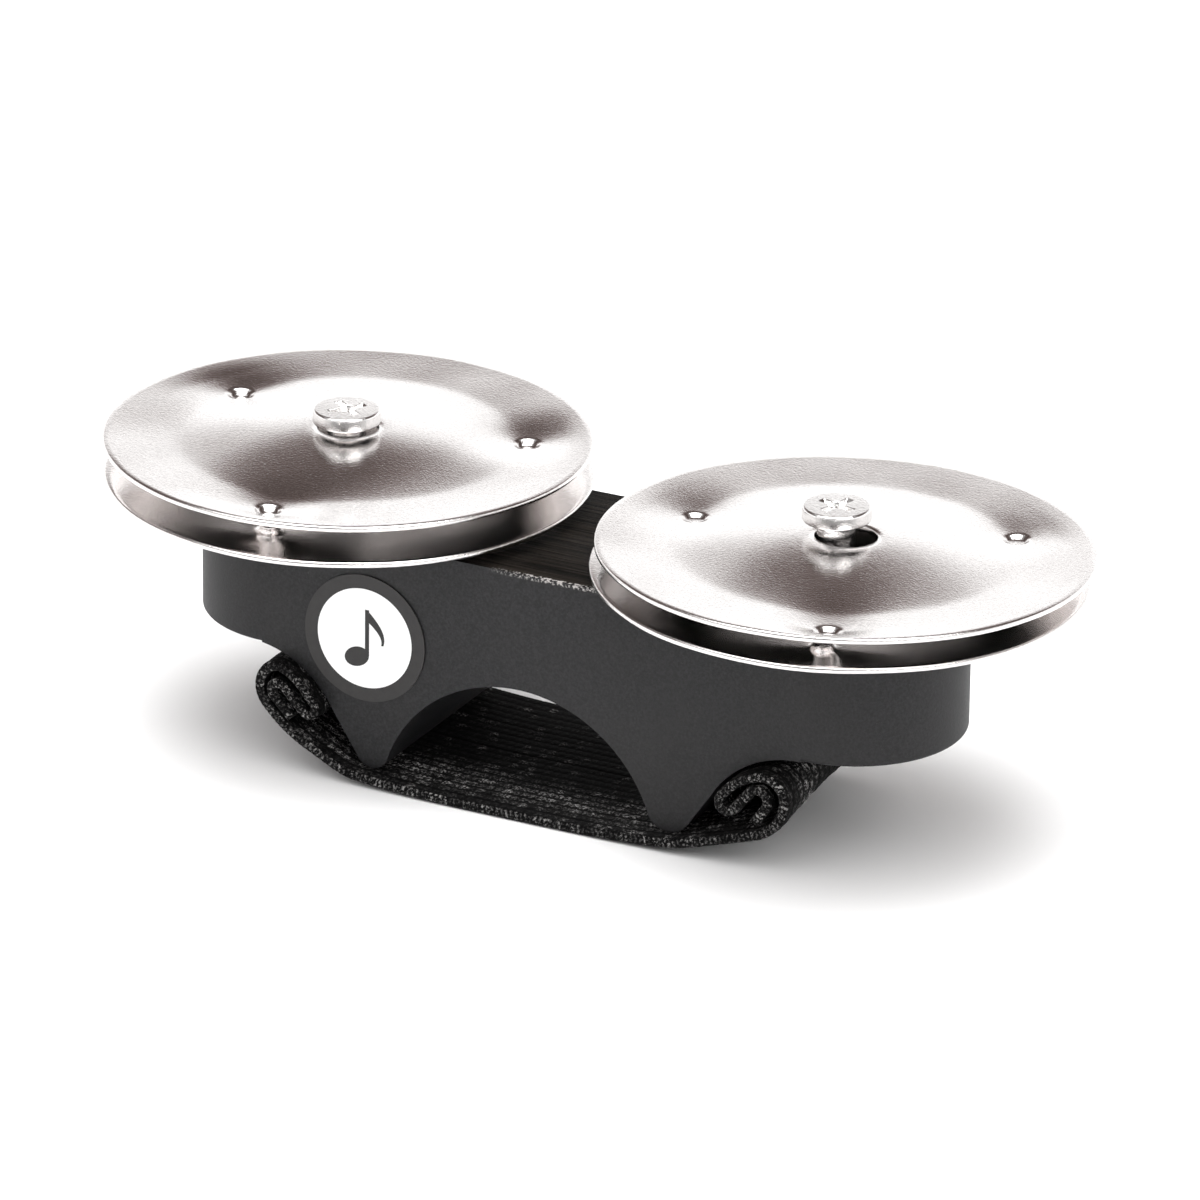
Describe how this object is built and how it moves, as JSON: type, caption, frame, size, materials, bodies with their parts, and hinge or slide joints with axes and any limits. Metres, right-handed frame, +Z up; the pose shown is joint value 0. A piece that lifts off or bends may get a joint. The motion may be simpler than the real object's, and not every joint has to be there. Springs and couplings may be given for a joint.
{
  "type": "finger jingle block",
  "caption": "Wooden bridge worn on the fingers with an elastic strap, carrying pairs of dished steel jingles that slide loosely on screws.",
  "frame": {"origin": "on the flat underside of the strap, midway along and across the block", "axes": "+X along the block, -Y out of the front face with the sticker, +Z up towards the jingles"},
  "size_m": [0.1151, 0.0549, 0.038],
  "materials": {
    "black_wood": "satin black stain",
    "polished_steel": "polished",
    "plated_screw": "bright plated",
    "black_elastic": "woven",
    "staple_wire": "galvanised",
    "sticker": "satin print"
  },
  "bodies": {
    "block": {"wood_block": "black_wood", "jingle_screws": "plated_screw", "finger_strap": "black_elastic", "strap_staples": "staple_wire", "front_badge": "sticker"},
    "lower_left": {"jingle_lower_left": "polished_steel"},
    "upper_left": {"jingle_upper_left": "polished_steel"},
    "lower_right": {"jingle_lower_right": "polished_steel"},
    "upper_right": {"jingle_upper_right": "polished_steel"}
  },
  "joints": [
    {"name": "lower_left_slide", "type": "slide", "parent": "block", "child": "lower_left", "axis": [0, 0, 1], "range_m": [0, 0.0004]},
    {"name": "upper_left_slide", "type": "slide", "parent": "lower_left", "child": "upper_left", "axis": [0, 0, 1], "range_m": [0, 0.0005]},
    {"name": "lower_right_slide", "type": "slide", "parent": "block", "child": "lower_right", "axis": [0, 0, 1], "range_m": [0, 0.0005]},
    {"name": "upper_right_slide", "type": "slide", "parent": "lower_right", "child": "upper_right", "axis": [0, 0, 1], "range_m": [0, 0.0007]}
  ]
}
